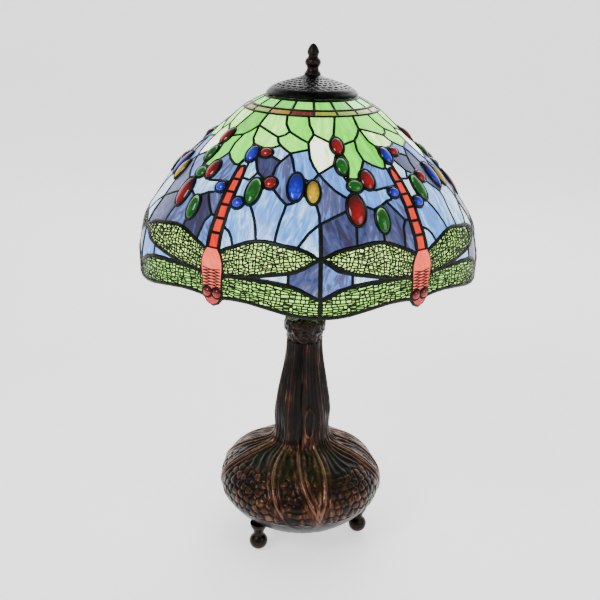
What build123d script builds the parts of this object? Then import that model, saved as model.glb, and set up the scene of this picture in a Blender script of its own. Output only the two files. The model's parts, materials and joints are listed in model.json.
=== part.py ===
"""Leaded-glass table lamp with a five-lobed dragonfly shade on a bronze tree-root base.

The lamp's axis is Z and its feet stand on z = 0. Angles are in degrees about Z.
"""
import os
from math import cos, degrees, radians, sin

from build123d import *

# --- shade -----------------------------------------------------------------------------
# Stations of the glass's outer face on a dragonfly's centre line: radius, height.
SHADE_PROFILE = [
    (66.0, 714.5),
    (98.0, 699.5),
    (138.0, 664.5),
    (170.0, 636.0),
    (197.0, 608.0),
    (219.0, 576.0),
    (235.0, 541.0),
    (237.0, 503.0),
    (236.5, 452.0),
]
REPEATS = 5  # dragonflies round the shade
SECTOR = 360 / REPEATS
FIRST_DRAGONFLY = -49.67  # bearing of the first dragonfly's body, from +X
LOBE_TOP = 600.0  # the shade is round above this height
LOBE_FULL = 500.0  # and fully lobed below this one
LOBE_DEPTH = 0.075  # how much further out a corner stands than a dragonfly
RIM_BOTTOM = 462.5
RIM_TOP = 466.5
RIM_LINE = RIM_TOP - 1.6  # lead line that the rim wire takes the place of
GLASS_THICK = 3.0
LEAD_PROUD = 1.2  # leading stands this far outside the glass
LEAD_INSIDE = 2.0  # and this far inside it
LEAD_WIDTH = 4.0
LEAD_HALF_RISE = 1.6  # half a level lead's height
FOIL_ROOM = 0.25  # room for the copper foil between a glass and its lead
FACET = 6.0  # the shade's surface turns in flat facets of about this angle

# Heights of the horizontal lead lines.
TOP_LINE = 712.5
BORDER_LINE = 707.5
ROPE_LINE = 699.5
LEAF_LINE = 667.0
GROUND_LINE = 637.0
UPPER_WING_TOP = 557.0
UPPER_WING_BOTTOM = 524.0
LOWER_WING_TOP = 514.0
HEAD_TOP = 490.0
TAIL_LINES = [GROUND_LINE, 622.5, 608.0, 592.7, 576.2, 558.7, 538.7]
BODY_HALF = 3.6  # half the angle that a dragonfly's body spans

# Cabochons of one sector: bearing from the dragonfly, height, half width, half height.
RED_JEWELS = [(9.1, 654.5, 8.0, 8.0), (16.2, 622.5, 8.5, 8.5), (-25.4, 664.0, 8.0, 8.0),
              (-15.4, 627.0, 9.0, 11.0), (-23.0, 593.5, 12.0, 16.0)]
GREEN_JEWELS = [(10.2, 611.0, 12.0, 16.0), (-25.7, 642.5, 8.0, 8.0), (-21.9, 621.0, 6.0, 6.0),
                (-13.5, 580.0, 10.0, 13.0)]
BLUE_JEWELS = [(-5.9, 611.0, 6.5, 8.0), (5.9, 595.0, 6.5, 8.0), (1.8, 654.0, 10.0, 8.0),
               (26.0, 623.0, 12.0, 14.0)]
AMBER_JEWELS = [(32.2, 605.0, 8.0, 11.0)]
EYE_JEWELS = [(-2.4, 479.3, 7.5, 8.0), (2.4, 479.3, 7.5, 8.0)]
JEWEL_HEIGHT = 6.5
JEWEL_SEAT = 0.45  # a stone's flat back stands this far off the leading

# --- cap, wheel and finial -------------------------------------------------------------
CAP_BRIM_RADIUS = 66.0
CAP_BRIM_BOTTOM = 717.4
CAP_TOP = 745.0
CAP_WALL = 1.5
WHEEL_RADIUS = 60.0
WHEEL_BOTTOM = 704.0
WHEEL_TOP = 709.0
RUNNING_GAP = 0.3
FINIAL_TOP = 789.0

# --- pipe and lights -------------------------------------------------------------------
PIPE_RADIUS = 5.0
PIPE_BORE = 3.4
PIPE_FOOT = 128.0
CLUSTER_BOTTOM = 395.0
CLUSTER_TOP = 440.0
CLUSTER_RADIUS = 20.0
LIGHT_CENTRE = 420.0  # height where the socket axes meet the lamp's axis
LIGHT_TILT = 55.0  # socket axis from vertical
LIGHT_BEARINGS = [-30.0, 90.0, 210.0]
SOCKET_RADIUS = 16.5
SOCKET_BORE = 13.6
SOCKET_START = 34.0  # distances along a socket's axis
SOCKET_SHELL_START = 46.0
SOCKET_END = 84.0
BULB_BASE_RADIUS = 13.2
BULB_BASE_START = 60.0
BULB_GLASS_START = 86.0
BULB_RADIUS = 30.0
BULB_END = 170.0
CHAIN_REACH = 58.0  # chain's distance from the lamp's axis
CHAIN_TOP = 432.0
CHAIN_END = 402.0

# --- base ------------------------------------------------------------------------------
COLUMN_FOOT = 148.0
COLUMN_TOP = 338.0
COLLAR_TOP = 375.0
COLUMN_BORE = 8.0
FOOT_CIRCLE = 99.8
FOOT_BEARINGS = [-129.8, -9.8, 110.2]
FOOT_BALL = 14.7
FOOT_CENTRE = 14.3
FOOT_SEAT = 50.0
FOOT_PAD = 13.0
SCREW_RADIUS = 3.0
COVER_RADIUS = 60.0


def finish(part, name):
    """Label a finished piece and write it as its own file."""
    part.label = name
    export_step(part, f"parts/{name}.step")


def turned(points):
    """A turned piece from the outline of its right half, as radius and height."""
    with BuildPart() as piece:
        with BuildSketch(Plane.XZ):
            with BuildLine():
                Polyline(*points, close=True)
            make_face()
        revolve(axis=Axis.Z)
    return piece.part


def ring(inner, outer, bottom, top):
    """A plain ring about the lamp's axis."""
    with BuildPart() as piece:
        with BuildSketch(Plane.XY.offset(bottom)):
            Circle(outer)
            if inner:
                Circle(inner, mode=Mode.SUBTRACT)
        extrude(amount=top - bottom)
    return piece.part


# --- the shade's surface ---------------------------------------------------------------
def surface_at(height):
    """Point and outward normal of the centre profile at a height, by straight runs."""
    for index in range(len(SHADE_PROFILE) - 1):
        (r0, z0), (r1, z1) = SHADE_PROFILE[index], SHADE_PROFILE[index + 1]
        if z1 <= height:
            share = (z0 - height) / (z0 - z1)
            run = Vector(r1 - r0, z1 - z0).normalized()
            return r0 + share * (r1 - r0), height, -run.Y, run.X
    raise ValueError(f"height {height} is below the shade")


def lobe_factor(height, bearing):
    """How far out the lobed skirt stands beside the centre profile."""
    depth = min(max((LOBE_TOP - height) / (LOBE_TOP - LOBE_FULL), 0.0), 1.0)
    return 1 + LOBE_DEPTH * depth * (1 - cos(radians(REPEATS * bearing))) / 2


def upright(bearing):
    """Vertical plane through the lamp's axis, with X outward and Y up."""
    return Plane(origin=(0, 0, 0), x_dir=(cos(radians(bearing)), sin(radians(bearing)), 0),
                 z_dir=(sin(radians(bearing)), -cos(radians(bearing)), 0))


def panel(top, bottom, start, end, front=0.0, back=-GLASS_THICK):
    """A plate in the shade's surface between two heights and two bearings."""
    levels = [top] + [z for _, z in SHADE_PROFILE if bottom < z < top] + [bottom]
    steps = max(1, round((end - start) / FACET))
    with BuildPart() as piece:
        for step in range(steps + 1):
            bearing = start + (end - start) * step / steps
            outside, inside = [], []
            for height in levels:
                r, z, normal_r, normal_z = surface_at(height)
                reach = r * lobe_factor(height, bearing)
                outside.append((reach + front * normal_r, z + front * normal_z))
                inside.append((reach + back * normal_r, z + back * normal_z))
            with BuildSketch(upright(bearing)):
                with BuildLine():
                    Polyline(*outside, *reversed(inside), close=True)
                make_face()
        loft(ruled=True)
    return piece.part


def lead(top, bottom, start, end):
    """A stretch of leading: a plate thicker than the glass on both faces."""
    return panel(top, bottom, start, end, LEAD_PROUD, -GLASS_THICK - LEAD_INSIDE)


def lead_angle(height):
    """Half a lead's width as an angle at a height."""
    return degrees(LEAD_WIDTH / 2 / surface_at(height)[0])


def row(top, bottom, edges):
    """Glasses side by side between the lead lines at two heights."""
    half = lead_angle((top + bottom) / 2) * (1 + FOIL_ROOM / (LEAD_WIDTH / 2))
    rise = LEAD_HALF_RISE + FOIL_ROOM
    return [panel(top - rise, bottom + rise, a + half, b - half)
            for a, b in zip(edges, edges[1:])]


def uprights(top, bottom, bearings):
    """Upright leads between the lead lines at two heights."""
    half = lead_angle((top + bottom) / 2)
    return [lead(top - LEAD_HALF_RISE, bottom + LEAD_HALF_RISE, b - half, b + half)
            for b in bearings]


def level_lead(height, start, end):
    """A level lead line over a range of bearings."""
    return lead(height + LEAD_HALF_RISE, height - LEAD_HALF_RISE, start, end)


def jewel_plane(bearing, height):
    """Plane on the leading's outer face with X level and its normal outward."""
    r, z, normal_r, normal_z = surface_at(height)
    reach = r * lobe_factor(height, bearing) + LEAD_PROUD * normal_r
    out = Vector(cos(radians(bearing)), sin(radians(bearing)))
    origin = Vector(reach * out.X, reach * out.Y, z + LEAD_PROUD * normal_z)
    normal = Vector(normal_r * out.X, normal_r * out.Y, normal_z)
    return Plane(origin=origin, x_dir=(-out.Y, out.X, 0), z_dir=normal)


def cabochon(bearing, height, half_width, half_height):
    """Oval stone, flat behind and domed in front."""
    plane = jewel_plane(bearing, height)
    with BuildPart() as stone:
        for lift, share in ((JEWEL_SEAT, 1.0), (JEWEL_HEIGHT * 0.55, 0.86), (JEWEL_HEIGHT, 0.45)):
            with BuildSketch(plane.offset(lift)):
                Ellipse(half_width * share, half_height * share)
        loft()
    return stone.part


def round_the_shade(pieces):
    """One sector's separate pieces repeated round the shade."""
    turns = [FIRST_DRAGONFLY + SECTOR * turn for turn in range(REPEATS)]
    solids = [solid for piece in pieces for solid in piece.solids()]
    return Compound([solid.rotate(Axis.Z, turn) for turn in turns for solid in solids])


os.makedirs("parts", exist_ok=True)

HALF = SECTOR / 2
QUARTERS = [-HALF, -HALF / 2, 0, HALF / 2, HALF]
LEAF_EDGES = [-HALF, -HALF * 0.75, -HALF / 4, HALF / 4, HALF * 0.75, HALF]
WING_SPLIT = 18.0  # a lead crosses each wing here
RIGHT_WING = [BODY_HALF, WING_SPLIT, HALF]
LEFT_WING = [-HALF, -WING_SPLIT, -BODY_HALF]
BODY = [-BODY_HALF, BODY_HALF]

# Each group of flat glasses in one dragonfly's sector.
GLASS_GROUPS = {
    "top_border_glass": row(TOP_LINE, BORDER_LINE, QUARTERS),
    "rope_band_glass": row(BORDER_LINE, ROPE_LINE, QUARTERS),
    "leaf_glass_upper": row(ROPE_LINE, LEAF_LINE, QUARTERS),
    "leaf_glass_lower": row(LEAF_LINE, GROUND_LINE, LEAF_EDGES),
    "ground_glass_upper": (row(GROUND_LINE, UPPER_WING_TOP, [BODY_HALF, HALF / 2, HALF])
                           + row(GROUND_LINE, UPPER_WING_TOP, [-HALF, -HALF / 2, -BODY_HALF])),
    "upper_wing_glass": (row(UPPER_WING_TOP, UPPER_WING_BOTTOM, RIGHT_WING)
                         + row(UPPER_WING_TOP, UPPER_WING_BOTTOM, LEFT_WING)),
    "ground_glass_lower": (row(UPPER_WING_BOTTOM, LOWER_WING_TOP, RIGHT_WING)
                           + row(UPPER_WING_BOTTOM, LOWER_WING_TOP, LEFT_WING)),
    "lower_wing_glass": (row(LOWER_WING_TOP, RIM_LINE, RIGHT_WING)
                         + row(LOWER_WING_TOP, RIM_LINE, LEFT_WING)),
    "dragonfly_tails": [glass for a, b in zip(TAIL_LINES, TAIL_LINES[1:])
                        for glass in row(a, b, BODY)],
    "dragonfly_thoraxes": row(TAIL_LINES[-1], HEAD_TOP, BODY),
    "dragonfly_heads": row(HEAD_TOP, RIM_LINE, BODY),
}
for name, glasses in GLASS_GROUPS.items():
    finish(round_the_shade(glasses), name)

# Cabochons: pressed glass stones soldered over the lead lines.
JEWELS = {
    "red_jewels": RED_JEWELS,
    "green_jewels": GREEN_JEWELS,
    "blue_jewels": BLUE_JEWELS,
    "amber_jewels": AMBER_JEWELS,
    "dragonfly_eyes": EYE_JEWELS,
}
for name, places in JEWELS.items():
    finish(round_the_shade([cabochon(*place) for place in places]), name)

# Leading: soldered copper foil and lead lines between the glasses.
net = [level_lead(height, -HALF, HALF) for height in
       (TOP_LINE, BORDER_LINE, ROPE_LINE, LEAF_LINE, GROUND_LINE)]
net += uprights(TOP_LINE, BORDER_LINE, QUARTERS[1:])
net += uprights(BORDER_LINE, ROPE_LINE, QUARTERS[1:])
net += uprights(ROPE_LINE, LEAF_LINE, QUARTERS[1:])
net += uprights(LEAF_LINE, GROUND_LINE, LEAF_EDGES[1:])
net += uprights(GROUND_LINE, UPPER_WING_TOP, [-HALF / 2, HALF / 2, HALF])
for top, bottom in ((UPPER_WING_TOP, UPPER_WING_BOTTOM), (UPPER_WING_BOTTOM, LOWER_WING_TOP),
                    (LOWER_WING_TOP, RIM_LINE)):
    net += uprights(top, bottom, [-WING_SPLIT, WING_SPLIT, HALF])
net += uprights(GROUND_LINE, RIM_LINE, BODY)
for height in (UPPER_WING_TOP, UPPER_WING_BOTTOM, LOWER_WING_TOP):
    side = BODY_HALF + lead_angle(height)
    net += [level_lead(height, side, HALF), level_lead(height, -HALF, -side)]
for height in TAIL_LINES[1:] + [HEAD_TOP]:
    side = BODY_HALF - lead_angle(height)
    net += [level_lead(height, -side, side)]
finish(round_the_shade(net), "leading")

# Rim wire: brass wire soldered round the bottom edge, in lengths that meet end to end.
finish(round_the_shade([lead(RIM_TOP, RIM_BOTTOM, a, b)
                        for a, b in zip(QUARTERS, QUARTERS[1:])]), "rim_wire")

# Shade ring: brass ring soldered in the shade's top, resting on the wheel.
finish(turned([(56, WHEEL_TOP + RUNNING_GAP), (64.5, WHEEL_TOP + RUNNING_GAP), (64.5, 714.5),
               (62.5, 714.5), (62.5, WHEEL_TOP + 1.8), (56, WHEEL_TOP + 1.8)]), "shade_ring")

# --- top fittings ----------------------------------------------------------------------
# Wheel: cast ring on four spokes, clamped on the pipe, that carries the shade.
with BuildPart() as shade_wheel:
    with BuildSketch(Plane.XY.offset(WHEEL_BOTTOM)):
        Circle(WHEEL_RADIUS)
        Circle(WHEEL_RADIUS - 6, mode=Mode.SUBTRACT)
        Circle(9)
        with PolarLocations(0, 4):
            with Locations((WHEEL_RADIUS / 2, 0)):
                Rectangle(WHEEL_RADIUS - 6, 7)
        Circle(PIPE_RADIUS, mode=Mode.SUBTRACT)
    extrude(amount=WHEEL_TOP - WHEEL_BOTTOM)
finish(shade_wheel.part, "shade_wheel")

# Wheel nuts: one hexagon nut under the wheel's hub and one above it.
with BuildPart() as wheel_nuts:
    for bottom in (WHEEL_BOTTOM - 4, WHEEL_TOP):
        with BuildSketch(Plane.XY.offset(bottom)):
            RegularPolygon(8, 6)
            Circle(PIPE_RADIUS, mode=Mode.SUBTRACT)
        extrude(amount=4)
finish(wheel_nuts.part, "wheel_nuts")

# Heat cap: spun and pierced bronze cap over the shade's opening.
finish(turned([(PIPE_RADIUS + 0.1, CAP_TOP), (11.5, CAP_TOP), (32, 737), (58.6, 727.6),
               (64.5, 722.5), (CAP_BRIM_RADIUS, 719), (CAP_BRIM_RADIUS - 0.6, CAP_BRIM_BOTTOM),
               (CAP_BRIM_RADIUS - 2, CAP_BRIM_BOTTOM), (CAP_BRIM_RADIUS - 3, 721.5),
               (57.8, 726.2), (31.5, 735.4), (12, CAP_TOP - CAP_WALL - 0.6),
               (PIPE_RADIUS + 0.1, CAP_TOP - CAP_WALL - 0.6)]), "heat_cap")

# Cap washer: locks the cap against a nut on the pipe.
finish(ring(PIPE_RADIUS, 10, CAP_TOP - CAP_WALL - 2.6, CAP_TOP - CAP_WALL - 0.6), "cap_washer")

# Finial: turned knob that screws on the pipe's end.
FINIAL_BORE = PIPE_RADIUS + 0.06
with BuildPart() as finial:
    with BuildSketch(Plane.XZ):
        with BuildLine():
            Polyline((0, FINIAL_TOP), (0, 754.4), (FINIAL_BORE, 754.4), (FINIAL_BORE, CAP_TOP + 0.3),
                     (11.5, CAP_TOP + 0.3))
            Spline((11.5, CAP_TOP + 0.3), (7.6, 752), (10.6, 761), (5.7, 768.5), (7.5, 774),
                   (4.2, 781), (0, FINIAL_TOP))
        make_face()
    revolve(axis=Axis.Z)
finish(finial.part, "finial")

# --- pipe and lights -------------------------------------------------------------------
finish(ring(PIPE_BORE, PIPE_RADIUS, PIPE_FOOT, CLUSTER_BOTTOM + 12), "centre_pipe")
finish(ring(PIPE_BORE, PIPE_RADIUS, CLUSTER_TOP - 12, 754.0), "riser_pipe")


def light_plane(bearing, distance):
    """Plane square to a socket's axis, at a distance from where the axes meet."""
    level = sin(radians(LIGHT_TILT))
    out = Vector(level * cos(radians(bearing)), level * sin(radians(bearing)),
                 cos(radians(LIGHT_TILT)))
    side = Vector(-sin(radians(bearing)), cos(radians(bearing)))
    return Plane(origin=Vector(0, 0, LIGHT_CENTRE) + out * distance, x_dir=side, z_dir=out)


# Cluster body: hollow turned body that joins the two pipes and carries the socket caps.
with BuildPart() as cluster_body:
    with BuildSketch(Plane.XY.offset(CLUSTER_BOTTOM)):
        Circle(CLUSTER_RADIUS)
    extrude(amount=CLUSTER_TOP - CLUSTER_BOTTOM)
    fillet(cluster_body.edges().filter_by(GeomType.CIRCLE), radius=5)
    for bearing in LIGHT_BEARINGS:
        with BuildSketch(light_plane(bearing, 0)):
            Circle(7)
        extrude(amount=SOCKET_START)
    with BuildSketch(Plane.XY.offset(CLUSTER_BOTTOM)):
        Circle(PIPE_RADIUS)
    extrude(amount=12, mode=Mode.SUBTRACT)
    with BuildSketch(Plane.XY.offset(CLUSTER_TOP - 12)):
        Circle(PIPE_RADIUS)
    extrude(amount=12, mode=Mode.SUBTRACT)
    with BuildSketch(Plane.XY.offset(CLUSTER_BOTTOM + 12)):
        Circle(PIPE_BORE)
    extrude(amount=CLUSTER_TOP - CLUSTER_BOTTOM - 24, mode=Mode.SUBTRACT)
finish(cluster_body.part, "cluster_body")


def solid_on_axis(bearing, rings):
    """A lofted round body on a socket's axis, from distances and radii."""
    with BuildPart() as body:
        for (start, r0), (end, r1) in zip(rings, rings[1:]):
            with BuildSketch(light_plane(bearing, start)):
                Circle(r0)
            with BuildSketch(light_plane(bearing, end)):
                Circle(r1)
            loft()
    return body.part


for number, bearing in enumerate(LIGHT_BEARINGS, 1):
    # Socket cap: cup that screws on the cluster and closes the socket's back.
    finish(solid_on_axis(bearing, [(SOCKET_START, 9), (SOCKET_START + 4, 13),
                                   (SOCKET_SHELL_START, SOCKET_RADIUS)]), f"socket_cap_{number}")

    # Socket shell: tube round the lamp holder, with the spout that the chain leaves by.
    with BuildPart() as socket_shell:
        with BuildSketch(light_plane(bearing, SOCKET_SHELL_START)):
            Circle(SOCKET_RADIUS)
        extrude(amount=SOCKET_END - SOCKET_SHELL_START)
        with BuildSketch(Plane.XY.offset(CHAIN_TOP)):
            with PolarLocations(CHAIN_REACH, 1, start_angle=bearing):
                Circle(3)
        extrude(amount=14)
        with BuildSketch(light_plane(bearing, SOCKET_SHELL_START + 8)):
            Circle(SOCKET_BORE)
        extrude(amount=60, mode=Mode.SUBTRACT)
    finish(socket_shell.part, f"socket_shell_{number}")

    # Bulb: screw base in the socket, and a frosted glass envelope.
    with BuildPart() as bulb_base:
        with BuildSketch(light_plane(bearing, BULB_BASE_START)):
            Circle(BULB_BASE_RADIUS)
        extrude(amount=BULB_GLASS_START - BULB_BASE_START)
    finish(bulb_base.part, f"bulb_base_{number}")
    with BuildPart() as bulb:
        axis_plane = light_plane(bearing, 0)
        meridian = Plane(origin=axis_plane.origin, x_dir=axis_plane.z_dir,
                         z_dir=-axis_plane.x_dir)
        with BuildSketch(meridian):
            with BuildLine():
                Spline((BULB_GLASS_START, 12.5), (BULB_GLASS_START + 14, 17),
                       (BULB_GLASS_START + 34, 27), (BULB_END - 30, BULB_RADIUS),
                       (BULB_END, 0), tangents=[(1, 0), (0, -1)])
                Polyline((BULB_END, 0), (BULB_GLASS_START, 0), (BULB_GLASS_START, 12.5))
            make_face()
        revolve(axis=Axis(meridian.origin, meridian.x_dir))
    finish(bulb.part, f"bulb_glass_{number}")

    # Pull chain: beads on a link wire, with a small bell pull at the end.
    with BuildPart() as pull_chain:
        with PolarLocations(CHAIN_REACH, 1, start_angle=bearing):
            with Locations((0, 0, (CHAIN_TOP + CHAIN_END) / 2 - RUNNING_GAP)):
                Cylinder(0.9, CHAIN_TOP - CHAIN_END)
            for step in range(6):
                with Locations((0, 0, CHAIN_TOP - 2.5 - 4 * step)):
                    Sphere(1.7)
            with Locations((0, 0, CHAIN_END)):
                Cone(4.2, 1.4, 10)
    finish(pull_chain.part, f"pull_chain_{number}")

# --- base ------------------------------------------------------------------------------
# Column: cast tree trunk, hollow for the pipe.
with BuildPart() as column:
    with BuildSketch(Plane.XZ):
        with BuildLine():
            Polyline((26.5, COLUMN_TOP), (COLUMN_BORE, COLUMN_TOP), (COLUMN_BORE, COLUMN_FOOT),
                     (45, COLUMN_FOOT))
            Spline((45, COLUMN_FOOT), (38.8, 160), (42, 188), (43.2, 219), (39.5, 245),
                   (33.5, 280), (28.7, 309), (26.5, COLUMN_TOP))
        make_face()
    revolve(axis=Axis.Z)
finish(column.part, "column")

# Neck collar: ring with a domed top over the column's end.
finish(turned([(PIPE_RADIUS, COLUMN_TOP), (27.5, COLUMN_TOP), (27.5, 347), (32.5, 355),
               (32.5, 370), (29, COLLAR_TOP), (PIPE_RADIUS, COLLAR_TOP)]), "neck_collar")

# Base: hollow cast cushion, open underneath.
with BuildPart() as base_casting:
    with BuildSketch(Plane.XZ):
        with BuildLine():
            Polyline((COLUMN_BORE, 138), (COLUMN_BORE, COLUMN_FOOT), (60, COLUMN_FOOT))
            Spline((60, COLUMN_FOOT), (85, 143), (110, 129), (124, 114), (129, 98), (127, 80),
                   (120, 63), (105, 46.5), (85, 36), (64, 31))
            Polyline((64, 31), (COVER_RADIUS, 31), (COVER_RADIUS, 62), (106, 62), (116, 72),
                     (120, 98), (114, 111), (100, 124), (80, 133), (60, 138), (COLUMN_BORE, 138))
        make_face()
    revolve(axis=Axis.Z)
    with BuildSketch(Plane.XY.offset(FOOT_SEAT)):
        for bearing in FOOT_BEARINGS:
            with PolarLocations(FOOT_CIRCLE, 1, start_angle=bearing):
                Circle(FOOT_PAD)
    extrude(amount=-30, mode=Mode.SUBTRACT)
    with BuildSketch(Plane.XY.offset(FOOT_SEAT - 1)):
        for bearing in FOOT_BEARINGS:
            with PolarLocations(FOOT_CIRCLE, 1, start_angle=bearing):
                Circle(SCREW_RADIUS)
    extrude(amount=20, mode=Mode.SUBTRACT)
    with BuildSketch(Plane.XZ.offset(-100)):
        with Locations((0, 84)):
            Circle(6)
    extrude(amount=-40, mode=Mode.SUBTRACT)
finish(base_casting.part, "base_casting")

# Cord bush: insulating bush in the back of the base, where a supply cord enters.
with BuildPart() as cord_bush:
    with BuildSketch(Plane.XZ.offset(-112)):
        with Locations((0, 84)):
            Circle(6)
            Circle(3.6, mode=Mode.SUBTRACT)
    extrude(amount=-18)
finish(cord_bush.part, "cord_bush")

# Feet: ball feet on short waisted necks.
for number, bearing in enumerate(FOOT_BEARINGS, 1):
    centre = Vector(FOOT_CIRCLE, 0).rotate(Axis.Z, bearing)
    with BuildPart() as foot:
        with BuildSketch(Plane(origin=centre, x_dir=(1, 0, 0), z_dir=(0, -1, 0))):
            with BuildLine():
                flat = (FOOT_BALL**2 - FOOT_CENTRE**2) ** 0.5
                shoulder = (8.3, FOOT_CENTRE + (FOOT_BALL**2 - 8.3**2) ** 0.5)
                Polyline((0, FOOT_SEAT), (0, 0), (flat, 0))
                ThreePointArc((flat, 0), (FOOT_BALL, FOOT_CENTRE), shoulder)
                Spline(shoulder, (9.2, 32), (FOOT_PAD, 40))
                Polyline((FOOT_PAD, 40), (FOOT_PAD, FOOT_SEAT), (0, FOOT_SEAT))
            make_face()
        revolve(axis=Axis(centre, (0, 0, 1)))
        with BuildSketch(Plane(origin=centre + Vector(0, 0, 28))):
            Circle(SCREW_RADIUS)
        extrude(amount=30, mode=Mode.SUBTRACT)
    finish(foot.part, f"foot_{number}")

# Foot studs: threaded studs with hexagon nuts inside the base.
with BuildPart() as foot_studs:
    for bearing in FOOT_BEARINGS:
        with BuildSketch(Plane.XY.offset(28)):
            with PolarLocations(FOOT_CIRCLE, 1, start_angle=bearing):
                Circle(SCREW_RADIUS)
        extrude(amount=40)
        with BuildSketch(Plane.XY.offset(62)):
            with PolarLocations(FOOT_CIRCLE, 1, start_angle=bearing):
                RegularPolygon(5.6, 6)
        extrude(amount=5)
finish(foot_studs.part, "foot_studs")

# Pipe washer and nut: clamp the pipe under the base's top wall.
finish(ring(PIPE_RADIUS, 15, 136, 138), "pipe_washer")
with BuildPart() as pipe_nut:
    with BuildSketch(Plane.XY.offset(131)):
        RegularPolygon(9, 6)
        Circle(PIPE_RADIUS, mode=Mode.SUBTRACT)
    extrude(amount=5)
finish(pipe_nut.part, "pipe_nut")

# Base weight: cast-iron disc resting on the cover.
finish(ring(10, 58, 35, 70), "base_weight")

# Bottom cover: steel disc with a felt face, let into the base's underside.
finish(ring(0, COVER_RADIUS, 32, 35), "bottom_cover")
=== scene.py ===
import json
from math import atan2, cos, hypot, pi, radians, sin

import bmesh
import bpy
import numpy as np
from mathutils import Matrix, Vector
from mathutils.kdtree import KDTree


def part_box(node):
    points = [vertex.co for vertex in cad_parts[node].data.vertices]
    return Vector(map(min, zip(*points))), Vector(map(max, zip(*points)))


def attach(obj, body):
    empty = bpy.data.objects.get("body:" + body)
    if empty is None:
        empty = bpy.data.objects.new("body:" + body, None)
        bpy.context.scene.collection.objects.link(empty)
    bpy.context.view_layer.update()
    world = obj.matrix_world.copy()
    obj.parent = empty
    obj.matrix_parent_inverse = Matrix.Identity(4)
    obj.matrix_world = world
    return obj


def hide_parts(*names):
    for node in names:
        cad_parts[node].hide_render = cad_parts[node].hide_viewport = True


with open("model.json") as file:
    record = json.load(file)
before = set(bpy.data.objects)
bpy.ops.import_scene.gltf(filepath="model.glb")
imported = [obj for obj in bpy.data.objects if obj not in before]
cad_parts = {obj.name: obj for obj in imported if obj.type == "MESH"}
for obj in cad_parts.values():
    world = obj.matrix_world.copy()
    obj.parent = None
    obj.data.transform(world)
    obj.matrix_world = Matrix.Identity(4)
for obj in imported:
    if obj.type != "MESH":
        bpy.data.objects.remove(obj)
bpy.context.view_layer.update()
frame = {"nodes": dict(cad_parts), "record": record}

MM = 0.001

# --- Shade surface ----------------------------------------------------------------------
# The glass is leaded over a mould with five lobes: round near the top, and with five
# soft corners at the skirt. Angles are in degrees from the corner at the front.
CORNER_BEARING = 4.33
REPEATS = 5
SECTOR = 360 / REPEATS
LOBE_DEPTH = 0.075
LOBE_TOP, LOBE_FULL = 600.0, 500.0
MOULD = [(66, 716), (98, 699.5), (118, 681.5), (138, 664.5), (155, 650), (170, 636), (184, 622),
         (197, 608), (209, 593), (219, 576), (229, 559), (235.3, 541), (236.5, 520), (236.5, 500),
         (236, 480), (235.5, 450)]
MOULD_STEP = 0.5
SMOOTH_STEPS = 10  # heights averaged on each side, so that the mould has no creases
heights = np.arange(MOULD[-1][1], MOULD[0][1] + MOULD_STEP, MOULD_STEP)
mould_z = [z for _, z in reversed(MOULD)]
mould_r = [r for r, _ in reversed(MOULD)]
window = np.ones(2 * SMOOTH_STEPS + 1) / (2 * SMOOTH_STEPS + 1)
creased = np.pad(np.interp(heights, mould_z, mould_r), SMOOTH_STEPS, mode="reflect",
                 reflect_type="odd")
smoothed = np.convolve(creased, window, mode="valid")
slopes = np.gradient(smoothed, heights)


def on_shade(angle, z, out=0.0, turn=0):
    """Point of the shade's outer face, moved outward by some millimetres, and its normal."""
    radius, slope = np.interp(z, heights, smoothed), np.interp(z, heights, slopes)
    length = (1 + slope * slope) ** 0.5
    depth = LOBE_DEPTH * min(max((LOBE_TOP - z) / (LOBE_TOP - LOBE_FULL), 0), 1)
    radius *= 1 + depth * (1 + cos(radians(REPEATS * angle))) / 2
    bearing = radians(angle + CORNER_BEARING + SECTOR * turn)
    normal = Vector((sin(bearing) / length, -cos(bearing) / length, -slope / length))
    foot = Vector((radius * sin(bearing), -radius * cos(bearing), z))
    return (foot + normal * out) * MM, normal


# --- Glass sheets -----------------------------------------------------------------------
# Opalescent sheet glass, rolled and streaked, cut to the cartoon and wrapped in foil.
# The streaks run along the sheet; the light of the lamp's bulbs behind it is painted in, as a glow
# of the glass's own colour.
GLASS_THICK = 3.0
SHEET_UNIT = 100.0  # millimetres of glass to one unit of the sheet's own coordinates
SHEET_DEGREE = 3.6  # millimetres of glass to a degree of the shade
NEXT_PLACE = 3.1  # how far along the sheet the next repeat's pane is cut
STREAK = 26.0  # millimetres along a streak of colour in the sheet
DEPTH_OF_COLOUR = 1.7  # light passes the coloured sheet, so its colour is deepened


def new_object(name, verts, faces):
    """A mesh object from points in metres."""
    mesh = bpy.data.meshes.new(name)
    mesh.from_pydata([tuple(v) for v in verts], [], faces)
    mesh.update()
    obj = bpy.data.objects.new(name, mesh)
    bpy.context.scene.collection.objects.link(obj)
    return obj


def choose(obj):
    """Make one object the only selected and the active one."""
    bpy.ops.object.select_all(action="DESELECT")
    obj.select_set(True)
    bpy.context.view_layer.objects.active = obj


def linear(colour):
    """sRGB hex to linear RGBA."""
    parts = [int(colour[i:i + 2], 16) / 255 for i in (1, 3, 5)]
    return [c / 12.92 if c <= 0.04045 else ((c + 0.055) / 1.055) ** 2.4 for c in parts] + [1.0]


def node(tree, kind, inputs=None, **settings):
    """A shader node with its settings, and its inputs as values or as (node, output)."""
    made = tree.nodes.new(kind)
    for key, value in settings.items():
        setattr(made, key, value)
    for key, value in (inputs or {}).items():
        if isinstance(value, tuple) and isinstance(value[0], bpy.types.Node):
            tree.links.new(value[0].outputs[value[1]], made.inputs[key])
        else:
            made.inputs[key].default_value = value
    return made


def material(name):
    """An empty node material, and its tree."""
    made = bpy.data.materials.new(name)
    made.use_nodes = True
    made.node_tree.nodes.clear()
    return made, made.node_tree


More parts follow.
